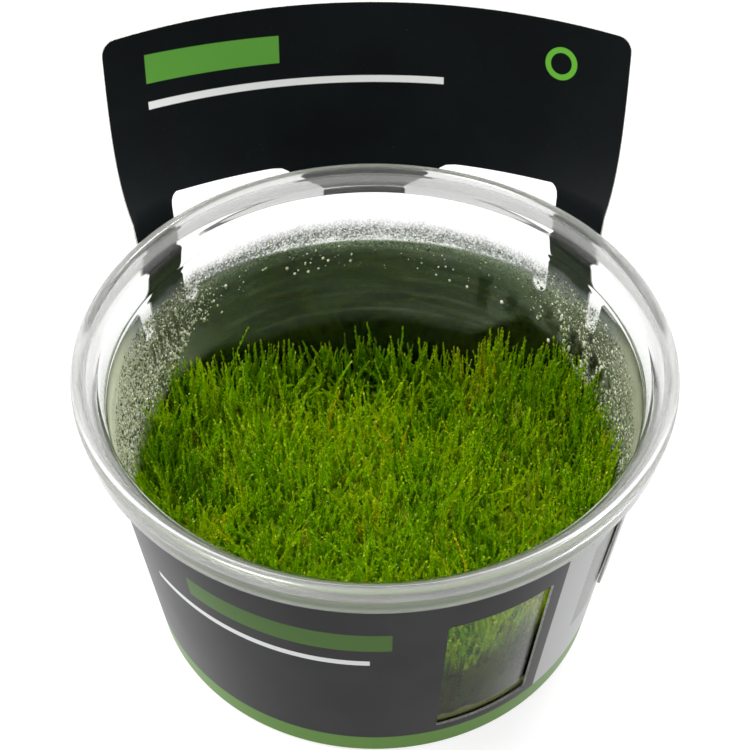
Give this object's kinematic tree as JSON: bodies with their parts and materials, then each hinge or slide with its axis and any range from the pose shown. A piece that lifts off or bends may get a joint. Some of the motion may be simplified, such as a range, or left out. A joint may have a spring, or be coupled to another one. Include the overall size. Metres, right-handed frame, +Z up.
{
  "type": "java moss in a clear cup",
  "caption": "Dense upright java moss on gel in an open clear plastic cup, wrapped in a die-cut card sleeve whose curved header stands up behind the rim.",
  "frame": {"origin": "centre of the cup's flat base, on the surface it stands on", "axes": "+Z up along the cup's axis, -Y the front with the window to its right, +Y the back where the header stands"},
  "size_m": [0.101, 0.1092, 0.0876],
  "materials": {
    "clear_plastic": "clear polypropylene, polished, fogged with condensation inside",
    "printed_card": "near-black satin print with green and pale grey areas, pale raw cut edges",
    "nutrient_gel": "set translucent gel, wet",
    "moss": "fine leafy stems, wet, vivid yellow-green with darker gaps"
  },
  "bodies": {
    "root": {"cup": "clear_plastic", "card_sleeve": "printed_card", "nutrient_gel": "nutrient_gel", "moss": "moss"}
  },
  "joints": []
}
